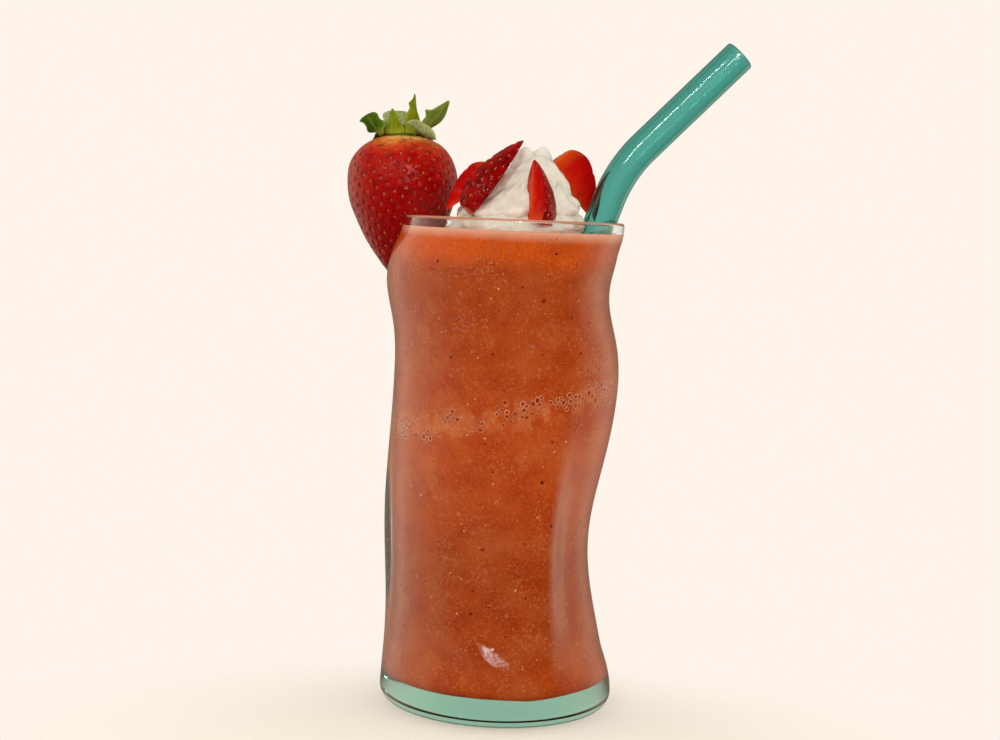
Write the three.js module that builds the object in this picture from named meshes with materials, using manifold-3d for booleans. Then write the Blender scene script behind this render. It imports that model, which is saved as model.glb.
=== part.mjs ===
// A strawberry smoothie in a wavy tumbler, topped with piped cream and strawberry wedges,
// with a bent glass straw and a whole strawberry split over the rim.
// Millimetres, +Z up, the front towards -Y. The origin is the centre of the glass's foot.

import * as THREE from "three";
import { mergeVertices } from "three/addons/utils/BufferGeometryUtils.js";
import Module from "manifold-3d";

const wasm = await Module();
wasm.setup();

const { lerp, smoothstep, euclideanModulo } = THREE.MathUtils;
const DEGREE = Math.PI / 180;
const TURN = 2 * Math.PI;

// Clearance between neighbouring pieces
const GAP = 0.3;

// Glass: a round foot and rim, with a wall of even thickness between them
const GLASS = {
  height: 150,
  rimRadius: 33.7,
  bodyRadius: 34.9,
  shoulder: 135, // where the body starts to draw in to the rim
  flare: 1.25, // how far the foot stands out past the body
  flareRise: 16.6,
  footFillet: 5,
  floor: 8.5,
  floorFillet: 4,
  wall: 2.4,
  lip: 1.8,
  lipRise: 20, // the wall thins to the lip over this height
  footRound: [4, 20], // the presses fade in between these heights
  rimRound: [140, 150], // and fade out between these
  segments: 32,
  rings: 16
};

// Places where the hot wall was pushed in (depth above 0) or pulled out: the direction in degrees
// from +X, the height, how far it spreads round and up the wall, and how sharp its edge is
const PRESSES = [
  { angle: 0, height: 128, depth: 4.8, spread: 60, rise: 15, edge: 2 },
  { angle: 180, height: 131, depth: -3.5, spread: 60, rise: 13, edge: 2 },
  { angle: -8, height: 51, depth: 7.8, spread: 50, rise: 31.5, edge: 8 },
  { angle: -100, height: 50, depth: 2.5, spread: 45, rise: 24, edge: 2 },
  { angle: 95, height: 52, depth: 3, spread: 45, rise: 24, edge: 2 },
  { angle: 110, height: 112, depth: 2.5, spread: 40, rise: 16, edge: 2 },
  { angle: 180, height: 36, depth: 1.5, spread: 35, rise: 24, edge: 2 }
];

// A fold of thicker glass down the left side, on the outside only
const FOLD = { angle: 182, height: 50, depth: -2.6, spread: 6.5, rise: 32, edge: 2 };

// Drink
const DRINK_LEVEL = 146.6;

// Cream: a piped swirl that leans to the right as it rises
const CREAM = {
  base: [0.9, 0],
  lean: 6,
  leanCurve: 1.5, // above 1, the lean grows towards the top
  radius: 20.5,
  height: 25.3,
  lastRing: 0.97, // share of the height where the rings end below the tip
  bulge: 1.3, // how long the cone keeps its width
  point: 0.85, // and how sharply it closes to the tip
  turnRise: 6.4, // height of one turn of the swirl
  crease: 0.16, // depth of the crease between turns, as a share of the radius
  roundness: 0.6, // below 1, the turns are full and the creases narrow
  ridges: 9,
  ridge: 0.03,
  segments: 26,
  rings: 18
};

// Straw: a glass tube with one bend, leaning on the inside of the rim
const STRAW = {
  diameter: 10,
  bore: 7.2,
  lean: 18.8, // degrees from upright below the bend
  bentLean: 43.9, // and above it
  atRim: 26.2, // distance right of the glass's axis at rim height
  bendHeight: 166.4,
  bendLeg: 10, // length of the bend on each side of its corner
  topHeight: 202,
  lowHeight: 13,
  sides: 10,
  steps: 25
};

// A strawberry's outline: its widest place and fullness, from shoulder to tip, and how much closer its
// rings lie at the round shoulder
const BERRY_OUTLINE = { skew: 0.59, fullness: 0.72, crowding: 1.6 };

// The whole strawberry on the rim
const BERRY = {
  radius: 17.1,
  length: 46.2,
  top: [-36.2, 13, 174.7],
  lean: -1.9, // degrees, its top to the left
  lobes: [
    { count: 3, depth: 0.015, turn: 1 },
    { count: 5, depth: 0.01, turn: 0 }
  ],
  segments: 24,
  rings: 14
};

// Its leafy cap: sepals that leave a low crown almost level and then turn up
const CALYX = {
  crownRadius: 6,
  crownHeight: 2,
  crownShoulder: [0.9, 0.6], // shares of the radius and height where the crown turns inwards
  crownTop: 0.4, // share of the radius that is flat on top
  crownSides: 16,
  sink: 0.8,
  thickness: 1.1,
  thinning: 0.5, // share of the thickness lost towards the tip
  rootShare: 0.2, // where on its lens-shaped outline a sepal leaves the crown
  fullness: 0.7,
  rings: 6
};
const SEPALS = [
  { azimuth: 185, length: 18, lift: 0, curl: 75, width: 7.5 },
  { azimuth: 232, length: 13, lift: 15, curl: 75, width: 7 },
  { azimuth: 278, length: 12, lift: 20, curl: 75, width: 7 },
  { azimuth: 325, length: 13.5, lift: 12, curl: -40, width: 8 },
  { azimuth: 5, length: 19.5, lift: 5, curl: 60, width: 7.5 },
  { azimuth: 72, length: 17, lift: 30, curl: 55, width: 6 },
  { azimuth: 112, length: 14, lift: 15, curl: 45, width: 7 },
  { azimuth: 150, length: 14, lift: 10, curl: 50, width: 7 }
];

// Wedges cut from smaller strawberries, pushed into the cream: the ends of the cut edge, from the
// leafy end to the tip, the direction that the middle of the skin faces, the angle of the cut, and
// the share of the length that was sliced off with the leaves
const WEDGES = {
  wedge_left_front: {
    stem: [-14.6, -11, 149.6],
    tip: [1.8, -3, 173.8],
    skin: [-0.2, -0.9, 0.3],
    radius: 8.2,
    angle: 62,
    trim: 0.05
  },
  wedge_left_back: {
    stem: [-4.5, -5, 163],
    tip: [-20.8, -5, 151.8],
    skin: [-0.43, 0.64, 0.63],
    radius: 7.8,
    angle: 76,
    trim: 0
  },
  wedge_front: {
    stem: [4.2, -20, 145.9],
    tip: [4.9, -14.5, 167.8],
    skin: [0.9, 0.43, 0],
    radius: 7.9,
    angle: 168,
    trim: 0.12
  },
  wedge_right: {
    stem: [8.6, 2.5, 167.6],
    tip: [24.2, 6.5, 150.4],
    skin: [0.6, 0.62, 0.5],
    radius: 10.9,
    angle: 76,
    trim: 0.1
  }
};
const WEDGE_GRID = { arc: 8, rings: 10, stemPole: 0.25, tipPole: 0.06 };

// Closed surface through rings of equally many points, with a pole at each end and each face between
// two rings split along its shorter diagonal
function loft(rings, startPole, endPole) {
  const count = rings[0].length;
  const points = [startPole, ...rings.flat(), endPole];
  const last = points.length - 1;
  const at = (level, i) => 1 + level * count + (i % count);
  const span = (from, to) => points[from].distanceTo(points[to]);
  const index = [];
  for (let i = 0; i < count; i += 1) {
    index.push(0, at(0, i + 1), at(0, i));
    for (let level = 1; level < rings.length; level += 1) {
      const [a, b] = [at(level - 1, i), at(level - 1, i + 1)];
      const [c, d] = [at(level, i + 1), at(level, i)];
      const faces = span(a, c) < span(b, d) ? [a, b, c, a, c, d] : [a, b, d, b, c, d];
      index.push(...faces);
    }
    index.push(last, at(rings.length - 1, i), at(rings.length - 1, i + 1));
  }
  const geometry = new THREE.BufferGeometry().setFromPoints(points);
  geometry.setIndex(index);
  return geometry;
}

// Level ring round the Z axis, its radius given for each direction
function ring(z, segments, radiusAt) {
  const points = [];
  for (let i = 0; i < segments; i += 1) {
    const angle = (TURN * i) / segments;
    const radius = radiusAt(angle);
    points.push(new THREE.Vector3(radius * Math.cos(angle), radius * Math.sin(angle), z));
  }
  return points;
}

function onAxis(z) {
  return new THREE.Vector3(0, 0, z);
}

// Solid for joining and cutting, from the merged corners of a closed geometry
function solidOf(geometry) {
  const bare = new THREE.BufferGeometry();
  bare.setAttribute("position", geometry.getAttribute("position"));
  bare.setIndex(geometry.getIndex());
  const merged = mergeVertices(bare);
  const mesh = new wasm.Mesh({
    numProp: 3,
    vertProperties: new Float32Array(merged.getAttribute("position").array),
    triVerts: new Uint32Array(merged.getIndex().array)
  });
  return new wasm.Manifold(mesh);
}

function geometryOf(solid) {
  const { vertProperties, triVerts } = solid.getMesh();
  const geometry = new THREE.BufferGeometry();
  geometry.setAttribute("position", new THREE.BufferAttribute(vertProperties, 3));
  geometry.setIndex(new THREE.BufferAttribute(triVerts, 1));
  return geometry;
}

// How far one press moves the wall in, at a direction and height
function pressDepth(press, angle, z) {
  const aside = euclideanModulo(angle - press.angle * DEGREE + Math.PI, TURN) - Math.PI;
  const across = Math.abs(aside / (press.spread * DEGREE)) ** press.edge;
  const along = ((z - press.height) / press.rise) ** 2;
  return press.depth * Math.exp(-across - along);
}

// Radius of the pressed wall, which stays round at the foot and the rim
function pressedRadius(angle, z, presses) {
  const { bodyRadius, rimRadius, shoulder, height, flare, flareRise, footRound, rimRound } = GLASS;
  const flared = bodyRadius + flare * Math.exp(-((z / flareRise) ** 2));
  const round = flared + (rimRadius - bodyRadius) * smoothstep(z, shoulder, height);
  const free = smoothstep(z, ...footRound) * (1 - smoothstep(z, ...rimRound));
  return presses.reduce((radius, press) => radius - free * pressDepth(press, angle, z), round);
}

function outerRadius(angle, z) {
  return pressedRadius(angle, z, [...PRESSES, FOLD]);
}

function innerRadius(angle, z) {
  const { height, wall, lip, lipRise, floor, floorFillet } = GLASS;
  const thickness = lerp(wall, lip, smoothstep(z, height - lipRise, height));
  const below = Math.max(0, floor + floorFillet - z) / floorFillet;
  const fillet = floorFillet * (1 - Math.sqrt(1 - below ** 2));
  return pressedRadius(angle, z, PRESSES) - thickness - fillet;
}

// Heights up a wall in even steps, both ends included
function heights(from, to, steps) {
  return Array.from({ length: steps + 1 }, (_, i) => lerp(from, to, i / steps));
}

// Rings down the inside from the drink's level: the wall, then its fillet in steps of equal turn
function insideRings(inset) {
  const { floor, floorFillet, segments, rings } = GLASS;
  const filletTop = floor + floorFillet;
  const fillet = [30, 60, 90].map((turn) => filletTop - floorFillet * Math.sin(turn * DEGREE));
  const levels = [...heights(DRINK_LEVEL, filletTop, rings - 2), ...fillet];
  return levels.map((z) => {
    const raised = z < filletTop ? z + inset : z;
    return ring(raised, segments, (angle) => innerRadius(angle, z) - inset);
  });
}

// The glass, its walls grown on every side where it is to cut another piece
function glassGeometry(grow) {
  const { height, rimRadius, footFillet, floor, lip, segments, rings } = GLASS;
  const lipHeight = height - lip / 2;
  const foot = [0, 30, 60].map((turn) => {
    const z = footFillet * (1 - Math.cos(turn * DEGREE));
    const inset = footFillet * (1 - Math.sin(turn * DEGREE));
    return ring(z - grow, segments, (angle) => outerRadius(angle, z) - inset + grow);
  });
  const outside = heights(footFillet, lipHeight, rings).map((z) =>
    ring(z, segments, (angle) => outerRadius(angle, z) + grow)
  );
  const edge = [45, 90, 135, 180].map((turn) => {
    const round = lip / 2 + grow;
    const z = lipHeight + round * Math.sin(turn * DEGREE);
    return ring(z, segments, () => rimRadius - lip / 2 + round * Math.cos(turn * DEGREE));
  });
  const levels = [...foot, ...outside, ...edge, ...insideRings(grow)];
  return loft(levels, onAxis(-grow), onAxis(floor + grow));
}

// The drink before it is cut: it fills the glass to its level
function drinkGeometry() {
  return loft(insideRings(GAP).reverse(), onAxis(GLASS.floor + GAP), onAxis(DRINK_LEVEL));
}

// Upward direction, leaning to the right
function leanDirection(angle) {
  return new THREE.Vector3(Math.sin(angle), 0, Math.cos(angle));
}

// Middle line of the straw, carried past its lower end where it is to cut another piece
function strawPath(grow) {
  const low = leanDirection(STRAW.lean * DEGREE);
  const high = leanDirection(STRAW.bentLean * DEGREE);
  const rimPoint = new THREE.Vector3(STRAW.atRim, 0, GLASS.height);
  const reach = (from, direction, z) => from.clone().addScaledVector(direction, (z - from.z) / direction.z);
  const corner = reach(rimPoint, low, STRAW.bendHeight);
  const start = reach(rimPoint, low, STRAW.lowHeight).addScaledVector(low, -grow);
  const bendStart = corner.clone().addScaledVector(low, -STRAW.bendLeg);
  const bendEnd = corner.clone().addScaledVector(high, STRAW.bendLeg);
  const path = new THREE.CurvePath();
  path.add(new THREE.LineCurve3(start, bendStart));
  path.add(new THREE.QuadraticBezierCurve3(bendStart, corner, bendEnd));
  path.add(new THREE.LineCurve3(bendEnd, reach(corner, high, STRAW.topHeight)));
  return path;
}

function circlePoints(radius) {
  const points = [];
  for (let i = 0; i < STRAW.sides; i += 1) {
    const angle = (TURN * i) / STRAW.sides;
    points.push(new THREE.Vector2(radius * Math.cos(angle), radius * Math.sin(angle)));
  }
  return points;
}

// The straw's tube, its wall grown on every side where it is to cut another piece
function strawGeometry(grow) {
  const section = new THREE.Shape(circlePoints(STRAW.diameter / 2 + grow));
  section.holes.push(new THREE.Path(circlePoints(STRAW.bore / 2 - grow)));
  return new THREE.ExtrudeGeometry(section, { steps: STRAW.steps, extrudePath: strawPath(grow) });
}

// The cream before it is cut: a helix of rounded turns on a cone, with the nozzle's ridges
function creamGeometry() {
  const { base, lean, leanCurve, radius, height, lastRing, bulge, point, segments, rings } = CREAM;
  const { turnRise, crease, roundness, ridges, ridge } = CREAM;
  const bottom = DRINK_LEVEL + GAP;
  const middle = (share) => new THREE.Vector3(base[0] + lean * share ** leanCurve, base[1], 0);
  const levels = heights(0, lastRing, rings).map((share) => {
    const cone = radius * (1 - share ** bulge) ** point;
    const swirl = (angle) => {
      const turn = euclideanModulo((height * share) / turnRise - angle / TURN, 1);
      const rounded = 1 - crease * (1 - Math.sin(Math.PI * turn) ** roundness);
      return cone * rounded * (1 + ridge * Math.cos(ridges * angle + TURN * share));
    };
    const level = ring(bottom + height * share, segments, swirl);
    return level.map((corner) => corner.add(middle(share)));
  });
  return loft(levels, middle(0).setZ(bottom), middle(1).setZ(bottom + height));
}

// Share of a strawberry's greatest radius, at a share of its length from shoulder to tip
function berryShare(along) {
  return Math.sin(Math.PI * along ** BERRY_OUTLINE.skew) ** BERRY_OUTLINE.fullness;
}

// Height of a ring below the shoulder, with both ends carried out by any growth
function berryHeight(along, length, grow) {
  return lerp(grow, -length - grow, along);
}

// Shares of the length for a strawberry's rings, from tip to shoulder, closer at the round shoulder
function berryLevels(rings) {
  const { crowding } = BERRY_OUTLINE;
  return Array.from({ length: rings }, (_, i) => (1 - (i + 0.5) / rings) ** crowding);
}

// The whole strawberry before the rim cuts it, hanging from the origin, with a gently uneven outline
function berryGeometry(grow) {
  const { radius, length, lobes, segments, rings } = BERRY;
  const lobed = (angle) =>
    lobes.reduce((sum, { count, depth, turn }) => sum + depth * Math.cos(count * angle + turn), 1);
  const levels = berryLevels(rings).map((along) => {
    const z = berryHeight(along, length, grow);
    return ring(z, segments, (angle) => radius * berryShare(along) * lobed(angle) + grow);
  });
  return loft(levels, onAxis(-length - grow), onAxis(grow)).applyMatrix4(berryPlace());
}

function berryPlace() {
  const place = new THREE.Matrix4().makeRotationY(BERRY.lean * DEGREE);
  return place.setPosition(...BERRY.top);
}

// One sepal: a lens-shaped blade that leaves the crown's middle, rises and curls to its tip
function sepalGeometry({ azimuth, length, lift, curl, width }) {
  const { thickness, thinning, rootShare, fullness, rings } = CALYX;
  const step = length / rings;
  const point = new THREE.Vector3();
  const blade = [];
  for (let i = 0; i < rings; i += 1) {
    const along = i / rings;
    const heading = (lift + curl * along) * DEGREE;
    const half = (width / 2) * Math.sin(Math.PI * lerp(rootShare, 1, along)) ** fullness;
    const thick = (thickness / 2) * (1 - thinning * along);
    const forward = new THREE.Vector3(Math.cos(heading), 0, Math.sin(heading));
    const upward = new THREE.Vector3(-Math.sin(heading), 0, Math.cos(heading));
    const sideways = new THREE.Vector3(0, 1, 0);
    blade.push([
      point.clone().addScaledVector(sideways, half),
      point.clone().addScaledVector(upward, thick),
      point.clone().addScaledVector(sideways, -half),
      point.clone().addScaledVector(upward, -thick)
    ]);
    point.addScaledVector(forward, step);
  }
  const geometry = loft(blade, new THREE.Vector3(-thickness / 2, 0, 0), point);
  return geometry.rotateZ(azimuth * DEGREE);
}

// Crown and sepals together, before the strawberry's shoulder cuts them
function calyxSolid() {
  const { crownRadius, crownHeight, crownShoulder, crownTop, crownSides, sink } = CALYX;
  const profile = [
    new THREE.Vector2(0, -sink),
    new THREE.Vector2(crownRadius, -sink),
    new THREE.Vector2(crownRadius * crownShoulder[0], crownHeight * crownShoulder[1]),
    new THREE.Vector2(crownRadius * crownTop, crownHeight),
    new THREE.Vector2(0, crownHeight)
  ];
  const crown = new THREE.LatheGeometry(profile, crownSides).rotateX(Math.PI / 2);
  const sepals = SEPALS.map((sepal) => sepalGeometry(sepal).translate(0, 0, crownHeight / 2));
  const pieces = [crown, ...sepals].map((geometry) => solidOf(geometry.applyMatrix4(berryPlace())));
  return pieces.reduce((whole, piece) => whole.add(piece));
}

// One wedge, the cut edge first in every ring and then the skin, grown where it is to cut the cream
function wedgeGeometry({ stem, tip, skin, radius, angle, trim }, grow) {
  const { arc, rings, stemPole, tipPole } = WEDGE_GRID;
  const from = new THREE.Vector3(...stem);
  const axis = from.clone().sub(new THREE.Vector3(...tip));
  const length = axis.length();
  axis.normalize();
  const facing = new THREE.Vector3(...skin).projectOnPlane(axis).normalize();
  const aside = new THREE.Vector3().crossVectors(axis, facing);
  const half = (angle / 2) * DEGREE;
  const edge = -grow / Math.sin(half);
  const levels = berryLevels(rings).map((level) => {
    const along = trim + (1 - trim) * level;
    const z = berryHeight(along, length, grow);
    const skinRadius = radius * berryShare(along) + grow;
    const reach = half + Math.asin(grow / skinRadius);
    const points = heights(-reach, reach, arc).map(
      (turn) => new THREE.Vector3(skinRadius * Math.cos(turn), skinRadius * Math.sin(turn), z)
    );
    return [new THREE.Vector3(edge, 0, z), ...points];
  });
  const geometry = loft(
    levels,
    new THREE.Vector3(tipPole * radius, 0, -length - grow),
    new THREE.Vector3(stemPole * radius, 0, grow - trim * length)
  );
  const place = new THREE.Matrix4().makeBasis(facing, aside, axis).setPosition(from);
  return geometry.applyMatrix4(place);
}

// Materials
function material(color, roughness, options = {}) {
  return new THREE.MeshStandardMaterial({ color, roughness, metalness: 0, ...options });
}

const MATERIALS = {
  glass: material(0x8cbfa6, 0.05, { transparent: true, opacity: 0.35 }),
  drink: material(0xb0522c, 0.35),
  cream: material(0xf3ece0, 0.55),
  straw: material(0x3f9482, 0.05, { transparent: true, opacity: 0.6 }),
  berry: material(0xa8170f, 0.3),
  leaf: material(0x6f8a2b, 0.6),
  wedge: material(0xb3160e, 0.3)
};

const part = new THREE.Group();

function addPiece(name, geometry, pieceMaterial) {
  geometry.computeVertexNormals();
  const mesh = new THREE.Mesh(geometry, pieceMaterial);
  mesh.name = name;
  part.add(mesh);
}

// Assembly: each piece is cut back from the ones that stand in it
const strawCutter = solidOf(strawGeometry(GAP));
const berryCutter = solidOf(berryGeometry(GAP));
const rimCutter = solidOf(glassGeometry(GAP));
const wedgeCutters = Object.values(WEDGES).map((wedge) => solidOf(wedgeGeometry(wedge, GAP)));

const drink = solidOf(drinkGeometry()).subtract(strawCutter).subtract(berryCutter);
const cream = [strawCutter, ...wedgeCutters].reduce(
  (mound, cutter) => mound.subtract(cutter),
  solidOf(creamGeometry())
);
const berry = solidOf(berryGeometry(0)).subtract(rimCutter);
const calyx = calyxSolid().subtract(berryCutter);

addPiece("glass", glassGeometry(0), MATERIALS.glass);
addPiece("drink", geometryOf(drink), MATERIALS.drink);
addPiece("cream", geometryOf(cream), MATERIALS.cream);
addPiece("straw", strawGeometry(0), MATERIALS.straw);
addPiece("rim_strawberry", geometryOf(berry), MATERIALS.berry);
addPiece("rim_strawberry_leaves", geometryOf(calyx), MATERIALS.leaf);
for (const [name, wedge] of Object.entries(WEDGES)) {
  addPiece(name, wedgeGeometry(wedge, 0), MATERIALS.wedge);
}

export default part;
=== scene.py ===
"""Looks of a strawberry smoothie in a wavy tumbler, with cream, strawberries and a bent glass straw.

Sizes and places are millimetres until Blender takes them. +Z is up and the front faces -Y.
"""

import math
from types import SimpleNamespace as Sizes

import bmesh
import bpy
import numpy as np
from mathutils import Matrix, Vector, noise
from mathutils.kdtree import KDTree


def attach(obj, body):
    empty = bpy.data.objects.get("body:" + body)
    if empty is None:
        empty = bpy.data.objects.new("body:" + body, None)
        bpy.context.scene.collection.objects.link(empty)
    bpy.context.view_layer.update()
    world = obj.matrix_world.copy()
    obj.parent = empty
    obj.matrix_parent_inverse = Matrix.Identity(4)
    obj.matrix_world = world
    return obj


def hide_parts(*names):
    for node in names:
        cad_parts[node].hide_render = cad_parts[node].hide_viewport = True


MM = 0.001
TURN = 2 * math.pi
GOLDEN_TURN = TURN * (3 - math.sqrt(5)) / 2
NOISE_SHIFT = (17.3, -9.1, 5.7)
WELD_DISTANCE = 0.001

# Glass: a round foot and rim, with a wall of even thickness between them
GLASS = Sizes(
    height=150,
    rim_radius=33.7,
    body_radius=34.9,
    shoulder=135,
    flare=1.25,
    flare_rise=16.6,
    foot_fillet=5,
    floor=8.5,
    floor_fillet=4,
    wall=2.4,
    lip=1.8,
    lip_rise=20,
    foot_round=(4, 20),
    rim_round=(140, 150),
)
GLASS_GRID = Sizes(
    segments=200,
    step=1.0,
    foot=10,
    lip=17,
    fillet=15,
    discs=(0.25, 0.5, 0.75, 0.9, 0.97, 0.99),
)

# Places where the hot wall was pushed in, or pulled out where the depth is below zero
PRESSES = (
    Sizes(angle=0, height=128, depth=4.8, spread=60, rise=15, edge=2),
    Sizes(angle=180, height=131, depth=-3.5, spread=60, rise=13, edge=2),
    Sizes(angle=-8, height=51, depth=7.8, spread=50, rise=31.5, edge=8),
    Sizes(angle=-100, height=50, depth=2.5, spread=45, rise=24, edge=2),
    Sizes(angle=95, height=52, depth=3, spread=45, rise=24, edge=2),
    Sizes(angle=110, height=112, depth=2.5, spread=40, rise=16, edge=2),
    Sizes(angle=180, height=36, depth=1.5, spread=35, rise=24, edge=2),
)
FOLD = Sizes(angle=182, height=50, depth=-2.6, spread=6.5, rise=32, edge=2)

# Ripple low on the front, which sinks to the right, and the grainy patch on it
RIPPLE = Sizes(angle=-92, height=18.8, sink=20, depth=-1.6, spread=22, rise=4.4, free=(8.5, 12.5))
GRAIN_PATCH = Sizes(angle=-93, height=22.5, spread=11, rise=3.6)

# Drink: how far it reaches into the wall, how it climbs there, and the lumps of its top
DRINK_LEVEL = 146.6
DRINK_REACH = 0.15
DRINK_GRID = Sizes(side=140, top=60, top_reach=0.98, crowding=1.5, mirrored_rows=2)
DRINK_SIDE, DRINK_TOP, DRINK_UNDER, DRINK_EDGE = 0, 1, 2, 3
MENISCUS = Sizes(rise=0.6, width=1.4)
LUMPS = Sizes(depth=0.25, size=3.5, seed=1)

# Cream; a layer of noise has a share, a size and a seed
CREAM = Sizes(
    base_x=0.9,
    lean=6,
    lean_curve=1.5,
    radius=20.8,
    height=23.6,
    sink=1,
    bulge=1.5,
    point=0.72,
    turn_rise=7.4,
    crease=0.1,
    roundness=0.8,
    ridges=7,
    ridge=0.02,
    ridge_wander=3,
    wander=((0.5, 10, 3), (0.2, 4.5, 4)),
    lumps=((0.09, 7, 5), (0.05, 3, 6), (0.02, 1.3, 7)),
    noise_radius=20,
    segments=220,
    rings=170,
    reach=0.985,
)
CREAM_PEAKS = (
    Sizes(tip=(2.6, -1.5, 172.2), foot=(1.5, -1, 163), radius=4.2, seed=70),
    Sizes(tip=(7.8, 0.5, 172.4), foot=(6.6, 1.5, 163), radius=4.6, seed=71),
    Sizes(tip=(9.6, -0.5, 169.2), foot=(8.2, 0, 161), radius=3.0, seed=72),
    Sizes(tip=(5.4, 4, 171.2), foot=(5, 4.5, 162), radius=4.4, seed=73),
)
PEAK = Sizes(bulge=2.2, point=0.62, lump=0.14, lump_size=4.5, segments=48, rings=40, reach=0.98)

STRAW = Sizes(
    radius=5,
    bore=3.6,
    lean=18.8,
    bent_lean=43.9,
    at_rim=26.2,
    bend_height=166.4,
    bend_leg=10,
    top_height=202,
    low_height=13,
)
STRAW_GRID = Sizes(sides=48, low=60, bend=40, top=20, end=13)

# Strawberries: outline from stem to tip, pits with their seeds, the whole one on the rim, and the wedges
OUTLINE = Sizes(skew=0.59, fullness=0.72, crowding=1.6, lump=0.012, lobes=((0.015, 3, 1), (0.01, 5, 0)))
PIT = Sizes(depth=0.34, width=0.68, swell=0.3, swell_at=1.7, swell_width=0.6)
SEED = Sizes(size=np.array((0.22, 0.46, 0.2)), sink=0.22, shares=(0.012, 0.992), samples=2000)
BERRY = Sizes(
    radius=17.1,
    length=46.2,
    top=(-36.2, 13, 174.7),
    lean=-1.9,
    seeds=440,
    seed_scale=(0.8, 1.15),
    random=5,
    columns=280,
    rows=200,
)
WEDGES = {
    "wedge_left_front": Sizes(
        stem=(-14.6, -11, 149.6), tip=(1.8, -3, 173.8), skin=(-0.2, -0.9, 0.3),
        radius=8.2, angle=62, trim=0.05, seed=60,
    ),
    "wedge_left_back": Sizes(
        stem=(-4.5, -5, 163), tip=(-20.8, -5, 151.8), skin=(-0.43, 0.64, 0.63),
        radius=7.8, angle=76, trim=0, seed=70,
    ),
    "wedge_front": Sizes(
        stem=(4.2, -20, 145.9), tip=(4.9, -14.5, 167.8), skin=(0.9, 0.43, 0),
        radius=7.9, angle=168, trim=0.12, seed=80,
    ),
    "wedge_right": Sizes(
        stem=(8.6, 2.5, 167.6), tip=(24.2, 6.5, 150.4), skin=(0.6, 0.62, 0.5),
        radius=10.9, angle=76, trim=0.1, seed=90,
    ),
}
WEDGE_GRID = Sizes(arc=44, cut=14, rows=90)
WEDGE_SKIN, WEDGE_CUT = 0, 1
WEDGE_SEEDS = Sizes(crowding=1.1, beyond=0.25, bare=0.03, scale=(0.75, 1.05), random=11)
FIBRES = ((0.12, 1.6), (0.2, 4))

# Leaves: the crown with its profile of radius shares and heights, and the sepals round it
CALYX = Sizes(radius=4.5, height=0.5, top=0.6, sink=1.2, thickness=0.8, segments=48, seed=40)
CROWN = ((1, -CALYX.sink), (0.98, -0.2), (0.9, 0.2), (0.7, 0.4), (0.4, CALYX.height), (0.15, CALYX.top))
BLADE = Sizes(
    rows=34,
    across=17,
    twist_span=(0.05, 0.5),
    wave=0.1,
    waves=11,
    tooth_width=0.07,
    thinning=0.6,
    cup=0.25,
    cup_curve=1.5,
    ripple=0.3,
    ripples=8,
)


def sepal(azimuth, length, lift, curl, width, **others):
    """A sepal: where it leaves the crown, how it rises and turns, and its outline and colour."""
    usual = {"root": 5, "rise": 0, "twist": 0, "base": 0.25, "full": 0.7, "tooth": 0, "tooth_at": 0.7}
    usual.update({"pale": 0.1, "dark": 0.3, **others})
    return Sizes(azimuth=azimuth, length=length, lift=lift, curl=curl, width=width, **usual)


SEPALS = (
    sepal(
        190, 7.8, 50, 12, 6.6, root=6.6, rise=-0.4, twist=62, full=0.26, tooth=-0.5, tooth_at=0.9, pale=0,
        dark=1,
    ),
    sepal(236, 7.8, 92, -4, 7.8, base=0.5, full=1.1, pale=0, dark=0.1),
    sepal(112, 7.8, 76, 6, 11, root=4.5, full=0.3, pale=0.9),
    sepal(312, 12.4, 85, 2, 5.6, root=5.4, base=0.45, full=0.95, tooth=-0.9, tooth_at=0.76, pale=0, dark=0),
    sepal(345, 14.4, 39, 14, 4.9, root=5.4, twist=-65, tooth=-0.7, tooth_at=0.5, pale=0.15, dark=0.45),
    sepal(318, 14, 2, -34, 6.8, root=1.5, rise=1.7, twist=-52, base=0.3, full=0.5, pale=1),
    sepal(30, 6, -4, -34, 6, full=0.5, pale=0.3, dark=0.6),
    sepal(72, 7, -4, -34, 6.5, full=0.6, tooth=0.4, dark=0.4),
    sepal(150, 6, -4, -34, 6, full=0.6, tooth=-0.4, tooth_at=0.75, dark=0.6),
)

# Bubbles: a line of coarse ones in a sloping plane, patches of fine foam, and lone ones
BAND = Sizes(
    level=94,
    slope=(-0.21, -0.04, 1),
    middles=range(-170, 190, 11),
    jitter=3,
    scatter=1.8,
    spread=(1.0, 2.4),
    count=(24, 64),
    radii=(0.2, 0.95),
)
FRONT_FOAM = (
    Sizes(angle=-104, height=134.5, spread=3.6, count=90, radii=(0.14, 0.34)),
    Sizes(angle=-113, height=119.5, spread=2.6, count=60, radii=(0.14, 0.36)),
    Sizes(angle=-43, height=107.0, spread=2.6, count=70, radii=(0.14, 0.4)),
)
BACK_FOAM = Sizes(
    patches=14, angles=(-30, 200), heights=(100, 140), spread=(1.5, 3.5), count=(30, 80), radii=(0.14, 0.36)
)
LONE_BUBBLES = Sizes(count=260, heights=(25, 142), radii=(0.14, 0.4))
# The big bubble shows only its dark heart, painted shade in its hollow
BIG_BUBBLE = Sizes(angle=-111.7, height=120.6, size=(1.3, 2.0, 0.05))
BUBBLE = Sizes(
    flatness=0.7,
    crowding=2.0,
    nearness=0.9,
    stretch=(0.82, 1.18),
    rim=0.2,
    rim_rise=0.3,
    rim_sides=(4, 12),
    hollow_from=0.26,
    heart=0.95,
    heart_rise=0.05,
    seed=21,
)

# Fruit specks and seeds: small flattened grains at the drink's side
GRAINS = {
    "fruit_speck": Sizes(count=380, radii=(0.16, 0.6), seed=31),
    "fruit_seed": Sizes(count=520, radii=(0.1, 0.36), seed=32),
}
GRAIN = Sizes(heights=(16, 145), crowding=2.5, breadth=(0.45, 0.95), thickness=0.08)


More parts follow.
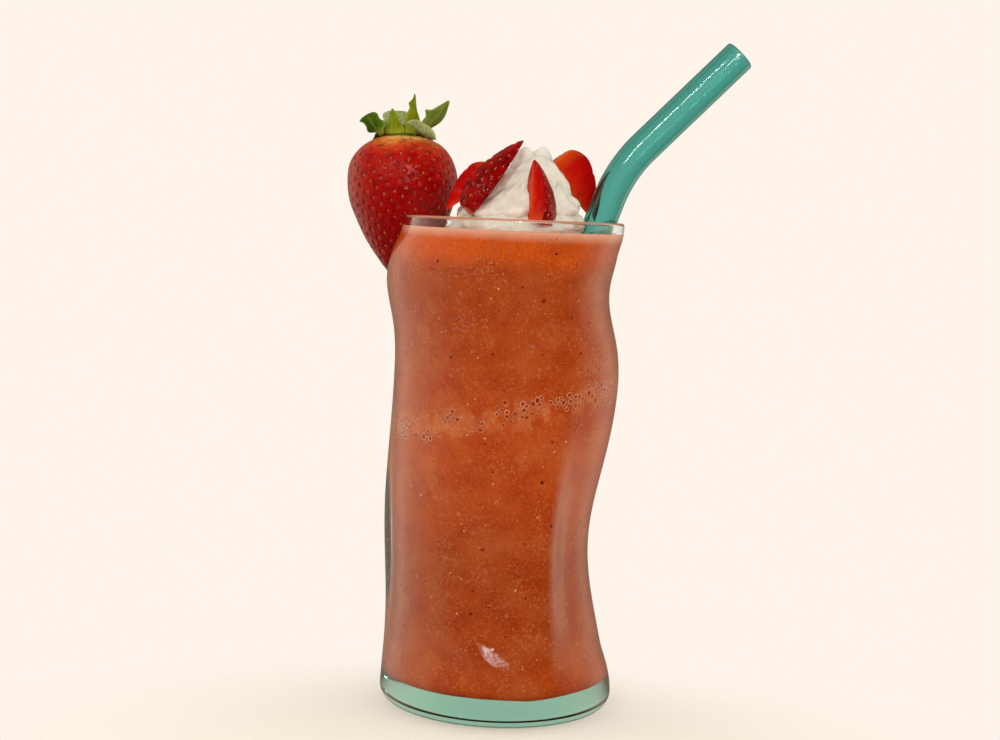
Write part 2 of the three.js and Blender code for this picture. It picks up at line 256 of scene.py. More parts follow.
def srgb(*levels):
    """Linear colour of an 8-bit sRGB one."""
    shares = [level / 255 for level in levels]
    linear = [s / 12.92 if s <= 0.04045 else ((s + 0.055) / 1.055) ** 2.4 for s in shares]
    return (*linear, 1.0)


def gray(level):
    return (level, level, level, 1)


# Colours
DRINK = Sizes(
    deep=srgb(157, 52, 10),
    mid=srgb(169, 65, 18),
    pink=srgb(178, 85, 42),
    light=srgb(202, 116, 70),
    # painted light: colour of the bright band high on the drink
    band=srgb(196, 72, 8),
    foam=srgb(220, 156, 124),
)
# Strawberry skin from tip to leaves; the darker red low down is painted shade, the warm and pale top is the
# skin's own colour
BERRY_SKIN_AND_SHADE = (
    (0.0, srgb(112, 2, 8)),
    (0.35, srgb(134, 2, 3)),
    (0.7, srgb(150, 3, 3)),
    (0.86, srgb(162, 12, 4)),
    (0.93, srgb(184, 54, 12)),
    (0.98, srgb(206, 120, 48)),
    (1.0, srgb(216, 166, 92)),
)
WEDGE_FLESH = (
    (0.0, srgb(206, 70, 22)),
    (0.3, srgb(194, 26, 6)),
    (0.65, srgb(180, 6, 3)),
    (1.0, srgb(160, 3, 3)),
)
# Small things, each of a shade between two
SHADES = {
    "strawberry_seed": (srgb(140, 46, 14), srgb(192, 120, 48)),
    # Bubble rims are pale, painted light round each bubble; bubble hearts are dark, painted shade in each
    # hollow
    "bubble_rim_painted_light": (srgb(192, 104, 66), srgb(214, 144, 110)),
    "bubble_heart_painted_shade": (srgb(136, 40, 12), srgb(160, 58, 22)),
    "fruit_speck": (srgb(84, 18, 8), srgb(128, 34, 14)),
    "fruit_seed": (srgb(192, 112, 64), srgb(214, 160, 120)),
}
CLEAR_GLASS = Sizes(density=27.0, color=(0.33, 0.67, 0.55, 1), coat=0.0)
TEAL_GLASS = Sizes(density=880.0, color=(0.05, 0.66, 0.6, 1), coat=0.3)
COAT_ROUGHNESS = 0.16

# Painted light and shade on the drink, as its brightness at shares of the glass's height; the painted bright
# band and the pale line at its top
DRINK_PAINTED_SHADE = ((0, 0.98), (0.18, 0.8), (0.3, 0.78), (0.42, 0.98), (0.56, 1.12), (0.72, 0.99), (0.84, 0.91), (1, 1))
PAINTED_SHADE_LIMIT = 1.2  # A ramp's colours end at 1, so it holds the tones as shares of this
PAINTED_LIGHT_BAND = Sizes(low=135.5, high=142.5, wave=4)
PALE_LINE = Sizes(low=143.5, high=147.6, wave=1.2)

# Camera: the photograph's viewpoint, with its slight roll
CAMERA = Sizes(place=(-2.5, -523, 150), pitch=5.09, roll=2.4, lens=61.2, sensor=36)

# Light: a dome, and what is mirrored or seen through glass; a fade has a span and a level at each end
BACKGROUND = srgb(254, 244, 234)
MIRRORED_COLOR = (1.0, 0.91, 0.7, 1)
DOME_SIDES = 0.5
FADES = Sizes(
    dome=(-0.6, 1.0, 0.55, 0.95),
    ground=(-0.8, -0.35, 0.15, 1.0),
    above=(0.15, 0.6, 1.0, 0.3),
    left=(-1.15, 0.5, 0.02, 1.25),
    right=(-0.45, 0.55, 0.02, 1.0),
    left_to_right=(-0.3, 0.3, 0.0, 1.0),
    back=(0.5, 1.0, 1.0, 0.2),
    straight=(-0.1, 0.9, 0.5, 1.0),
    bounced_front=(-0.95, -0.6, 0.75, 0.02),
    bounced_back=(-0.1, 0.9, 0.0, 1.0),
)
LAMPS = {
    "key": Sizes(place=(-516, -1107, 843), size=(50, 400), power=2.4),
    "front": Sizes(place=(120, -1230, 600), size=(220, 200), power=3.5),
    "strip": Sizes(place=(420, -1120, 600), size=(560, 160), power=1.7),
}
LAMP_TARGET = (0, 0, 80)
LAMP_COLOR = (1.0, 0.97, 0.93)
# Floor: a little darker than the backdrop and faded out away from a middle in front of the glass, so that it
# shows as a painted shadow
FLOOR = Sizes(
    radius=200,
    sides=96,
    level=-0.3,
    shade=(0.86, 0.86, 0.81),
    shift=(0, 50, 0),
    stretch=(1, 1.55, 1),
    fade=(50, 170),
)


# Points and directions


def smoothstep(value, low, high):
    share = np.clip((value - low) / (high - low), 0, 1)
    return share * share * (3 - 2 * share)


def bump(value, middle, width):
    """Bell of height 1 round a middle."""
    return np.exp(-(((value - middle) / width) ** 2))


def turns(count):
    """Angles evenly round a circle."""
    return np.linspace(0, TURN, count, endpoint=False)


def polar(radius, angle, z):
    """Points at radii and angles round the upright axis."""
    return np.stack(np.broadcast_arrays(radius * np.cos(angle), radius * np.sin(angle), z), axis=-1)


def unit(vectors):
    return vectors / np.linalg.norm(vectors, axis=-1, keepdims=True)


def turned(points, place):
    matrix = np.array(place)
    return np.asarray(points) @ matrix[:3, :3].T + matrix[:3, 3]


def noise_at(points, size, seed):
    """Smooth noise between -1 and 1 whose features are about the given size across."""
    shift = Vector([seed * part for part in NOISE_SHIFT])
    flat = np.asarray(points).reshape(-1, 3) / size
    values = [noise.noise(Vector(point) + shift) for point in flat]
    return np.array(values).reshape(np.shape(points)[:-1])


def noise_sum(points, layers, start=0):
    """Layers of noise added up, each with a share, a size and a seed."""
    return sum((share * noise_at(points, size, seed) for share, size, seed in layers), start)


def grid_normals(grid, wrap=True):
    """Outward directions of a grid of points whose columns run anticlockwise and rows upwards."""
    if wrap:
        across = np.roll(grid, -1, axis=1) - np.roll(grid, 1, axis=1)
    else:
        across = np.gradient(grid, axis=1)
    return unit(np.cross(across, np.gradient(grid, axis=0)))


# Meshes


class Shape:
    """A mesh in the making: points in millimetres, faces with material slots, and values at points."""

    def __init__(self):
        self.points = []
        self.faces = []
        self.slots = []
        self.values = []
        self.count = 0

    def add(self, points, faces, slots=0, **values):
        points = np.asarray(points, float).reshape(-1, 3)
        self.points.append(points)
        self.faces += (np.asarray(faces) + self.count).tolist()
        self.slots.append(np.broadcast_to(slots, len(faces)))
        self.values.append((len(points), values))
        self.count += len(points)

    def add_grid(self, grid, wrap=True, ring=False, slots=0, **values):
        """Quads between the points of a grid; ring also joins the last row to the first."""
        rows, columns = grid.shape[:2]
        row = np.arange(rows if ring else rows - 1)[:, None]
        column = np.arange(columns if wrap else columns - 1)[None, :]
        above, beside = (row + 1) % rows, (column + 1) % columns
        corners = (row * columns + column, row * columns + beside)
        corners += (above * columns + beside, above * columns + column)
        faces = np.stack(corners, axis=-1).reshape(-1, 4)
        flat = {name: np.broadcast_to(value, grid.shape[:2]).ravel() for name, value in values.items()}
        self.add(grid, faces, np.broadcast_to(slots, (len(row), column.size)).ravel(), **flat)

    def add_pole(self, pole, row, top, slots=0, **values):
        """Fan from a pole to a row of points."""
        count = len(row)
        first = 1 + np.arange(count)
        second = 1 + (np.arange(count) + 1) % count
        sides = (first, second) if top else (second, first)
        faces = np.stack((np.zeros(count, int), *sides), axis=-1)
        flat = {name: np.full(count + 1, value) for name, value in values.items()}
        self.add(np.vstack((pole, row)), faces, slots, **flat)

    def add_solid(self, grid, start, end, **values):
        """Closed surface through the rows of a grid, with a pole below and one above."""
        self.add_grid(grid, **values)
        self.add_pole(start, grid[0], False)
        self.add_pole(end, grid[-1], True)

    def add_copies(self, template, origins, axes, scales, **values):
        """A template set down many times; axes holds each copy's three directions as rows."""
        points, faces = template
        placed = origins[:, None] + np.einsum("kj,nj,njd->nkd", points, scales, axes)
        shifted = faces[None] + (np.arange(len(origins)) * len(points))[:, None, None]
        flat = {name: np.repeat(value, len(points)) for name, value in values.items()}
        self.add(placed, shifted.reshape(-1, faces.shape[1]), **flat)

    def mesh(self, name):
        made = bpy.data.meshes.new(name)
        made.from_pydata((np.concatenate(self.points) * MM).tolist(), [], self.faces)
        made.polygons.foreach_set("use_smooth", [True] * len(self.faces))
        made.polygons.foreach_set("material_index", np.concatenate(self.slots).astype(np.int32))
        for key in sorted({key for _, values in self.values for key in values}):
            column = [np.broadcast_to(values.get(key, 0.0), count) for count, values in self.values]
            attribute = made.attributes.new(key, "FLOAT", "POINT")
            attribute.data.foreach_set("value", np.concatenate(column).astype(np.float32))
        weld(made)
        return made


def weld(made):
    """Joins points that lie on each other, such as a fan's and its neighbour row's."""
    form = bmesh.new()
    form.from_mesh(made)
    bmesh.ops.remove_doubles(form, verts=form.verts, dist=WELD_DISTANCE * MM)
    form.to_mesh(made)
    form.free()


def add_object(name, data):
    made = bpy.data.objects.new(name, data)
    bpy.context.scene.collection.objects.link(made)
    return made


def add_piece(name, shape, materials, node=None):
    """A piece of the model, on the part's one body, in place of a CAD node if it names one."""
    piece = add_object(name, shape.mesh(name))
    for material in materials:
        piece.data.materials.append(material)
    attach(piece, "root")
    if node:
        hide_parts(node)
    return piece


def ball(subdivisions=2):
    """Points and faces of a unit ball."""
    form = bmesh.new()
    bmesh.ops.create_icosphere(form, subdivisions=subdivisions, radius=1)
    points = np.array([vert.co for vert in form.verts])
    faces = np.array([[vert.index for vert in face.verts] for face in form.faces])
    form.free()
    return points, faces


def loop(rows, columns, thickness):
    """Points and faces of a ring of radius 1 with a round tube."""
    form = Shape()
    roll = turns(rows)[:, None]
    form.add_grid(polar(1 + thickness * np.cos(roll), turns(columns), thickness * np.sin(roll)), ring=True)
    return np.concatenate(form.points), np.array(form.faces)


# Shape of the glass and the drink in it


def angle_from(angle, middle):
    """Angle from a direction in degrees, between -pi and pi."""
    return np.mod(angle - math.radians(middle) + math.pi, TURN) - math.pi


def press_depth(press, angle, z):
    across = np.abs(angle_from(angle, press.angle) / math.radians(press.spread)) ** press.edge
    along = ((z - press.height) / press.rise) ** 2
    return press.depth * np.exp(-across - along)


def pressed_radius(angle, z, presses):
    flared = GLASS.body_radius + GLASS.flare * np.exp(-((z / GLASS.flare_rise) ** 2))
    drawn = (GLASS.rim_radius - GLASS.body_radius) * smoothstep(z, GLASS.shoulder, GLASS.height)
    free = smoothstep(z, *GLASS.foot_round) * (1 - smoothstep(z, *GLASS.rim_round))
    return flared + drawn - free * sum(press_depth(press, angle, z) for press in presses)


def ripple_depth(angle, z):
    aside = angle_from(angle, RIPPLE.angle)
    middle = RIPPLE.height - RIPPLE.sink * aside
    free = smoothstep(z, *RIPPLE.free)
    return RIPPLE.depth * free * bump(aside, 0, math.radians(RIPPLE.spread)) * bump(z, middle, RIPPLE.rise)


def outer_radius(angle, z):
    return pressed_radius(angle, z, (*PRESSES, FOLD)) - ripple_depth(angle, z)


def inner_radius(angle, z, reach=0.0):
    """Radius of the inside, or of a drink that reaches into the wall and the floor."""
    thin = smoothstep(z, GLASS.height - GLASS.lip_rise, GLASS.height)
    thickness = GLASS.wall + (GLASS.lip - GLASS.wall) * thin
    below = np.clip((GLASS.floor - reach + GLASS.floor_fillet - z) / GLASS.floor_fillet, 0, 1)
    fillet = GLASS.floor_fillet * (1 - np.sqrt(1 - below**2))
    return pressed_radius(angle, z, PRESSES) - thickness - fillet + reach


def drink_radius(angle, z):
    return inner_radius(angle, z, DRINK_REACH)


def wall_rings(radius_at, z, inset=0):
    """Rings at a column of heights, on a wall whose radius a function tells."""
    angle = turns(GLASS_GRID.segments)
    return polar(radius_at(angle, z) - inset, angle, z)


def disc_rings(edge, height, shares):
    """Level rings inside an edge, at shares of its radius."""
    radius = np.hypot(edge[:, 0], edge[:, 1])
    return polar(np.asarray(shares)[:, None] * radius, turns(GLASS_GRID.segments), height)


def fillet_heights(floor):
    """Heights of the rings up the fillet round a floor, as a column."""
    turn = np.radians(np.linspace(90, 0, GLASS_GRID.fillet))[:, None]
    return floor + GLASS.floor_fillet * (1 - np.sin(turn))


def glass_shape():
    turn = np.radians(np.linspace(0, 90, GLASS_GRID.foot, endpoint=False))[:, None]
    foot_z = GLASS.foot_fillet * (1 - np.cos(turn))
    foot = wall_rings(outer_radius, foot_z, GLASS.foot_fillet * (1 - np.sin(turn)))
    half_lip = GLASS.lip / 2
    lip_z = GLASS.height - half_lip
    outside = wall_rings(outer_radius, np.arange(GLASS.foot_fillet, lip_z, GLASS_GRID.step)[:, None])
    roll = np.radians(np.linspace(0, 180, GLASS_GRID.lip))[:, None]
    lip_radius = GLASS.rim_radius - half_lip + half_lip * np.cos(roll)
    lip = polar(lip_radius, turns(GLASS_GRID.segments), lip_z + half_lip * np.sin(roll))
    fillet_top = GLASS.floor + GLASS.floor_fillet
    inside_z = np.arange(lip_z - GLASS_GRID.step / 2, fillet_top, -GLASS_GRID.step)[:, None]
    inside = wall_rings(inner_radius, inside_z)
    fillet = wall_rings(inner_radius, fillet_heights(GLASS.floor)[::-1])
    under = disc_rings(foot[0], 0, GLASS_GRID.discs)
    floor = disc_rings(fillet[-1], GLASS.floor, GLASS_GRID.discs[::-1])
    grid = np.vstack((under, foot, outside, lip, inside, fillet, floor))
    aside = angle_from(np.arctan2(grid[..., 1], grid[..., 0]), GRAIN_PATCH.angle)
    level = GRAIN_PATCH.height - RIPPLE.sink * aside
    grainy = bump(aside, 0, math.radians(GRAIN_PATCH.spread)) * bump(grid[..., 2], level, GRAIN_PATCH.rise)
    shape = Shape()
    shape.add_solid(grid, (0, 0, 0), (0, 0, GLASS.floor), grainy=grainy)
    return shape


def drink_top(points):
    """Height of the drink's top: a climb at the wall and soft lumps."""
    angle = np.arctan2(points[..., 1], points[..., 0])
    inset = drink_radius(angle, DRINK_LEVEL) - np.hypot(points[..., 0], points[..., 1])
    near = np.exp(-inset / MENISCUS.width)
    lumps = LUMPS.depth * noise_at(points, LUMPS.size, LUMPS.seed) * (1 - near)
    return DRINK_LEVEL - MENISCUS.rise + MENISCUS.rise * near + lumps


def drink_shape():
    floor = GLASS.floor - DRINK_REACH
    fillet_z = fillet_heights(floor)
    wall_z = np.linspace(floor + GLASS.floor_fillet, DRINK_LEVEL, DRINK_GRID.side)[1:, None]
    side = wall_rings(drink_radius, np.vstack((fillet_z, wall_z)))
    under = disc_rings(side[0], floor, (*GLASS_GRID.discs, 1.0))
    shares = 1 - np.linspace(0, DRINK_GRID.top_reach, DRINK_GRID.top) ** DRINK_GRID.crowding
    top = disc_rings(side[-1], DRINK_LEVEL, shares)
    top[..., 2] = drink_top(top)
    row = np.arange(len(side) - 1)[:, None]
    slots = np.where(row < len(fillet_z) - 1, DRINK_EDGE, DRINK_SIDE)
    slots[: DRINK_GRID.mirrored_rows] = DRINK_UNDER
    shape = Shape()
    shape.add_pole((0, 0, floor), under[0], False, slots=DRINK_UNDER)
    shape.add_grid(under, slots=DRINK_UNDER)
    shape.add_grid(side, slots=slots)
    shape.add_grid(top, slots=DRINK_TOP)
    shape.add_pole((0, 0, top[-1, 0, 2]), top[-1], True, slots=DRINK_TOP)
    return shape


def wall_places(angle, z):
    """Points on the drink's side, with directions round the glass, up it and outwards."""
    step = 0.01

    def at(angle, z):
        return polar(drink_radius(angle, z), angle, z)

    around = unit(at(angle + step, z) - at(angle - step, z))
    upward = unit(at(angle, z + step) - at(angle, z - step))
    return at(angle, z), np.stack((around, upward, np.cross(around, upward)), axis=1)


# Straw


def straw_centres():
    """Middle line of the straw and its direction, in the plane y = 0."""
    leans = np.radians((STRAW.lean, STRAW.bent_lean))
    low, high = np.column_stack((np.sin(leans), np.cos(leans)))
    rim = np.array((STRAW.at_rim, GLASS.height))
    corner = rim + low * (STRAW.bend_height - rim[1]) / low[1]
    start = rim + low * (STRAW.low_height - rim[1]) / low[1]
    end = corner + high * (STRAW.top_height - corner[1]) / high[1]
    bend_start = corner - low * STRAW.bend_leg
    bend_end = corner + high * STRAW.bend_leg
    share = np.linspace(0, 1, STRAW_GRID.bend)[:, None]
    lower = start + (bend_start - start) * np.linspace(0, 1, STRAW_GRID.low, endpoint=False)[:, None]
    bend = (1 - share) ** 2 * bend_start + 2 * share * (1 - share) * corner + share**2 * bend_end
    upper = bend_end + (end - bend_end) * np.linspace(0, 1, STRAW_GRID.top)[1:, None]
    path = np.vstack((lower, bend, upper))
    return path, unit(np.gradient(path, axis=0))


def straw_shape():
    path, heading = straw_centres()
    turn = turns(STRAW_GRID.sides)
    half_wall = (STRAW.radius - STRAW.bore) / 2
    middle = (STRAW.radius + STRAW.bore) / 2
    roll = np.radians(np.linspace(0, 180, STRAW_GRID.end))[1:-1]

    def ring(place, radius, along=0):
        x, z = path[place] + along * heading[place]
        ahead_x, ahead_z = heading[place]
        across = np.column_stack((np.cos(turn) * ahead_z, np.sin(turn), -np.cos(turn) * ahead_x))
        return np.array((x, 0, z)) + radius * across

    def round_end(place, side):
        """Rounded edge of an open end, from outside to bore for side 1 and back for side -1."""
        aside, along = side * half_wall * np.cos(roll), side * half_wall * np.sin(roll)
        return [ring(place, middle + a, b) for a, b in zip(aside, along)]

    outside = [ring(place, STRAW.radius) for place in range(len(path))]
    bore = [ring(place, STRAW.bore) for place in reversed(range(len(path)))]
    shape = Shape()
    shape.add_grid(np.array(outside + round_end(-1, 1) + bore + round_end(0, -1)), ring=True)
    return shape


# Cream


def add_peak(shape, peak):
    """A soft tip of cream, drawn out of the mound when the nozzle was lifted."""
    share = np.linspace(0, PEAK.reach, PEAK.rings)[:, None]
    foot, tip = np.array(peak.foot), np.array(peak.tip)
    middle = (foot + (tip - foot) * share)[:, None]
    radius = (peak.radius * (1 - share**PEAK.bulge) ** PEAK.point)[..., None]
    across = polar(1, turns(PEAK.segments), 0 * share)
    lumpy = 1 + PEAK.lump * noise_at(middle + radius * across, PEAK.lump_size, peak.seed)
    shape.add_solid(middle + radius * lumpy[..., None] * across, foot, tip)


def cream_shape():
    share = np.linspace(0, CREAM.reach, CREAM.rings)[:, None]
    angle = turns(CREAM.segments)
    bottom = DRINK_LEVEL - CREAM.sink
    height = CREAM.height + CREAM.sink
    cone = CREAM.radius * (1 - share**CREAM.bulge) ** CREAM.point
    middle_x = CREAM.base_x + CREAM.lean * share**CREAM.lean_curve
    around = polar(CREAM.noise_radius, angle, height * share)
    wander = noise_sum(around, CREAM.wander)
    turn = np.mod(height * share / CREAM.turn_rise - angle / TURN + wander, 1)
    rounded = 1 - CREAM.crease * (1 - np.sin(math.pi * turn) ** CREAM.roundness)
    ridged = 1 + CREAM.ridge * np.cos(CREAM.ridges * angle + TURN * share + CREAM.ridge_wander * wander)
    radius = cone * rounded * ridged * noise_sum(around, CREAM.lumps, 1)
    grid = polar(radius, angle, bottom + height * share)
    grid[..., 0] += middle_x
    shape = Shape()
    shape.add_solid(grid, (CREAM.base_x, 0, bottom), (middle_x[-1, 0], 0, bottom + height))
    for peak in CREAM_PEAKS:
        add_peak(shape, peak)
    return shape


# Strawberries


def berry_share(along):
    return np.sin(math.pi * np.clip(along, 0, 1) ** OUTLINE.skew) ** OUTLINE.fullness


def berry_levels(rows):
    return (1 - (np.arange(rows) + 0.5) / rows) ** OUTLINE.crowding


def berry_points(along, angle, fruit):
    lobed = sum((share * np.cos(count * angle + phase) for share, count, phase in OUTLINE.lobes), 1)
    lumpy = 1 + OUTLINE.lump * np.sin(4 * angle + 9 * along) * np.sin(3 * angle - 14 * along + 1)
    return polar(fruit.radius * berry_share(along) * lobed * lumpy, angle, -fruit.length * along)


def berry_frames(along, angle, fruit):
    """Points on a strawberry's skin, with directions round it, up it and outwards."""
    step = 0.004
    points = berry_points(along, angle, fruit)
    around = unit(berry_points(along, angle + step, fruit) - points)
    upward = unit(berry_points(along - step, angle, fruit) - berry_points(along + step, angle, fruit))
    outward = unit(np.cross(around, upward))
    return points, np.stack((around, np.cross(outward, around), outward), axis=1)


def seed_places(count, fruit):
    """Shares of a strawberry's length and angles for seeds that cover its skin evenly."""
    along = np.linspace(0.0, 1.0, SEED.samples)
    reach = fruit.radius * berry_share(along)
    area = np.cumsum(reach * np.hypot(np.gradient(reach), fruit.length * np.gradient(along)))
    shares = np.interp(area[-1] * (np.arange(count) + 0.5) / count, area, along)
    keep = (shares > SEED.shares[0]) & (shares < SEED.shares[1])
    return shares[keep], (np.arange(count) * GOLDEN_TURN)[keep]


def dimpled(grid, normals, pits):
    """Skin pressed in round each seed, with a low swelling between them."""
    tree = KDTree(len(pits))
    for number, pit in enumerate(pits):
        tree.insert(pit, number)
    tree.balance()
    flat = grid.reshape(-1, 3)
    distance = np.array([tree.find(point)[2] for point in flat]).reshape(grid.shape[:2])
    press = PIT.depth * bump(distance, 0, PIT.width)
    swell = PIT.swell * PIT.depth * bump(distance, PIT.swell_at * PIT.width, PIT.swell_width * PIT.width)
    return grid + normals * (swell - press)[..., None]


def add_seeds(shape, spots, axes, place, scale, random):
    """Seeds in their pits on a strawberry's skin."""
    rng = np.random.default_rng(random)
    sunk = turned(spots - axes[:, 2] * SEED.sink, place)
    scales = SEED.size * rng.uniform(*scale, (len(spots), 1))
    tint = rng.uniform(0, 1, len(spots))
    shape.add_copies(ball(), sunk, axes @ np.array(place)[:3, :3].T, scales, tint=tint)


def berry_place():
    return Matrix.Translation(BERRY.top) @ Matrix.Rotation(math.radians(BERRY.lean), 4, "Y")


def berry_shapes():
    """The whole strawberry and its seeds, placed on the rim."""
    along = berry_levels(BERRY.rows)[:, None]
    grid = berry_points(along, turns(BERRY.columns), BERRY)
    spots, axes = berry_frames(*seed_places(BERRY.seeds, BERRY), BERRY)
    skin = dimpled(grid, grid_normals(grid), spots)
    place = berry_place()
    body, seeds = Shape(), Shape()
    body.add_solid(turned(skin, place), turned((0, 0, -BERRY.length), place), BERRY.top)
    add_seeds(seeds, spots, axes, place, BERRY.seed_scale, BERRY.random)
    return body, seeds


def fibrous(face, facing, seed):
    """A cut face with its fibres raised."""
    layers = [(share, size, seed + number) for number, (share, size) in enumerate(FIBRES)]
    return face + np.array(facing) * noise_sum(face, layers)[..., None]


def wedge_shape(wedge, seeds):
    """A strawberry wedge with its skin and two cut faces; its seeds join the shape of all wedges' seeds."""
    stem, tip = Vector(wedge.stem), Vector(wedge.tip)
    fruit = Sizes(radius=wedge.radius, length=(stem - tip).length)
    axis = (stem - tip).normalized()
    facing = Vector(wedge.skin)
    facing = (facing - axis * facing.dot(axis)).normalized()
    place = Matrix.Translation(stem) @ Matrix((facing, axis.cross(facing), axis)).transposed().to_4x4()
    half = math.radians(wedge.angle) / 2
    along = wedge.trim + (1 - wedge.trim) * berry_levels(WEDGE_GRID.rows)[:, None]
    skin = berry_points(along, np.linspace(-half, half, WEDGE_GRID.arc), fruit)
    share = fruit.radius * fruit.length / (BERRY.radius * BERRY.length)
    count = int(BERRY.seeds * share * WEDGE_SEEDS.crowding)
    seed_along, seed_angle = seed_places(count, fruit)
    seed_angle = np.mod(seed_angle + wedge.seed + math.pi, TURN) - math.pi
    spots, axes = berry_frames(seed_along, seed_angle, fruit)
    near = (np.abs(seed_angle) < half + WEDGE_SEEDS.beyond) & (seed_along > wedge.trim)
    skin = dimpled(skin, grid_normals(skin, wrap=False), spots[near])
    edge = np.zeros((WEDGE_GRID.rows, 1, 3))
    edge[:, 0, 2] = skin[:, 0, 2]
    inward = np.linspace(0, 1, WEDGE_GRID.cut)[None, 1:, None]
    first = skin[:, -1:] + (edge - skin[:, -1:]) * inward
    second = (edge + (skin[:, :1] - edge) * inward)[:, :-1]
    first = fibrous(first, (-math.sin(half), math.cos(half), 0), wedge.seed)
    second = fibrous(second, (-math.sin(half), -math.cos(half), 0), wedge.seed + len(FIBRES))
    grid = np.concatenate((skin, first, second), axis=1)
    reach = np.hypot(grid[..., 0], grid[..., 1]) / np.maximum(fruit.radius * berry_share(along), 0.01)
    slots = np.where(np.arange(grid.shape[1]) < WEDGE_GRID.arc - 1, WEDGE_SKIN, WEDGE_CUT)
    body = Shape()
    body.add_grid(turned(grid, place), slots=slots[None, :], reach=reach, along=along)
    for row, top, end in ((grid[0], False, 1), (grid[-1], True, wedge.trim)):
        pole = turned((row[:, 0].mean(), 0, -end * fruit.length), place)
        body.add_pole(pole, turned(row, place), top, slots=WEDGE_CUT)
    inside = near & (np.abs(seed_angle) < half - WEDGE_SEEDS.bare)
    add_seeds(seeds, spots[inside], axes[inside], place, WEDGE_SEEDS.scale, wedge.seed + WEDGE_SEEDS.random)
    return body


# Leaves


def sepal_grid(leaf, seed):
    """Blade of a sepal: rows along it, each a closed lens-shaped section that is folded and wavy."""
    share = np.linspace(0, 1, BLADE.rows, endpoint=False)
    heading = np.radians(leaf.lift + leaf.curl * share)
    forward = np.stack((np.cos(heading), 0 * heading, np.sin(heading)), axis=-1)
    upward = np.stack((-np.sin(heading), 0 * heading, np.cos(heading)), axis=-1)
    sideways = np.broadcast_to((0.0, 1.0, 0.0), upward.shape)
    path = np.vstack((np.zeros(3), np.cumsum(forward * (leaf.length / BLADE.rows), axis=0)))
    path = path + np.array((leaf.root, 0, leaf.rise))
    twist = np.radians(leaf.twist) * smoothstep(share, *BLADE.twist_span)[:, None]
    across_axis = np.cos(twist) * sideways + np.sin(twist) * upward
    face_axis = np.cos(twist) * upward - np.sin(twist) * sideways
    outline = np.sin(math.pi * (leaf.base + (1 - leaf.base) * share)) ** leaf.full
    side = np.linspace(-1, 1, BLADE.across)
    section = np.concatenate((side, side[-2:0:-1]))
    upper = np.concatenate((np.full(BLADE.across, -1.0), np.full(BLADE.across - 2, 1.0)))
    phase = np.random.default_rng(seed).uniform(0, TURN, 4)
    toothed = np.clip(np.sign(leaf.tooth) * section, 0, 1) * abs(leaf.tooth)
    wave = 1 + BLADE.wave * np.sin(BLADE.waves * share + phase[0])[:, None] * np.abs(section)
    wave = wave + toothed * bump(share, leaf.tooth_at, BLADE.tooth_width)[:, None]
    half = leaf.width / 2 * outline[:, None]
    thick = CALYX.thickness / 2 * (1 - BLADE.thinning * share)[:, None]
    lens = upper * np.sqrt(np.clip(1 - section**2, 0, 1)) * thick
    cup = BLADE.cup * half * np.abs(section) ** BLADE.cup_curve
    ripple = BLADE.ripple * section**2 * np.sin(BLADE.ripples * share[:, None] + 2 * section + phase[1])
    aside = (half * section * wave)[..., None] * across_axis[:, None]
    raised = (lens + cup + ripple)[..., None] * face_axis[:, None]
    return path[:-1, None] + aside + raised, share, section, path[-1]


def calyx_shape():
    shape = Shape()
    place = berry_place()
    for number, leaf in enumerate(SEPALS):
        grid, share, section, last = sepal_grid(leaf, CALYX.seed + number)
        turn = place @ Matrix.Translation((0, 0, CALYX.height / 2))
        turn = turn @ Matrix.Rotation(math.radians(leaf.azimuth), 4, "Z")
        start = (leaf.root - CALYX.thickness, 0, leaf.rise)
        tone = {"pale": leaf.pale, "dark": leaf.dark}
        shape.add_grid(turned(grid, turn), along=share[:, None], across=section[None, :], **tone)
        shape.add_pole(turned(start, turn), turned(grid[0], turn), False, **tone)
        shape.add_pole(turned(last, turn), turned(grid[-1], turn), True, along=1.0, **tone)
    profile = np.array(CROWN)
    crown = polar(CALYX.radius * profile[:, :1], turns(CALYX.segments), profile[:, 1:])
    poles = turned(((0, 0, -CALYX.sink), (0, 0, CALYX.top)), place)
    shape.add_solid(turned(crown, place), *poles)
    return shape


# Bubbles and fruit grains at the drink's side


def foam_patches(rng):
    """Patches of bubbles: angle, height, spread, number, and least and greatest radius."""
    reach = GLASS.body_radius - GLASS.wall
    patches = [(math.radians(p.angle), p.height, p.spread, p.count, *p.radii) for p in FRONT_FOAM]
    for middle in BAND.middles:
        angle = math.radians(middle + rng.normal(0, BAND.jitter))
        fall = BAND.slope[0] * np.cos(angle) + BAND.slope[1] * np.sin(angle)
        z = BAND.level - reach * fall + rng.normal(0, BAND.scatter)
        patches.append((angle, z, rng.uniform(*BAND.spread), rng.integers(*BAND.count), *BAND.radii))
    for _ in range(BACK_FOAM.patches):
        angle = rng.uniform(*np.radians(BACK_FOAM.angles))
        z = rng.uniform(*BACK_FOAM.heights)
        size = (rng.uniform(*BACK_FOAM.spread), rng.integers(*BACK_FOAM.count))
        patches.append((angle, z, *size, *BACK_FOAM.radii))
    return patches


def bubble_places(rng):
    """Angles, heights and radii of the bubbles at the drink's side, none on another in its patch."""
    reach = GLASS.body_radius - GLASS.wall
    kept = []
    for middle, level, spread, count, low, high in foam_patches(rng):
        patch = []
        for _ in range(count):
            angle = middle + rng.normal(0, spread) / reach
            z = level + rng.normal(0, BUBBLE.flatness * spread)
            size = low + (high - low) * rng.uniform() ** BUBBLE.crowding
            if all(
                math.hypot((angle - a) * reach, z - h) > BUBBLE.nearness * (size + s) for a, h, s in patch
            ):
                patch.append((angle, z, size))
        kept += patch
    for _ in range(LONE_BUBBLES.count):
        angle = rng.uniform(-math.pi, math.pi)
        kept.append((angle, rng.uniform(*LONE_BUBBLES.heights), rng.uniform(*LONE_BUBBLES.radii)))
    return np.array(kept).T


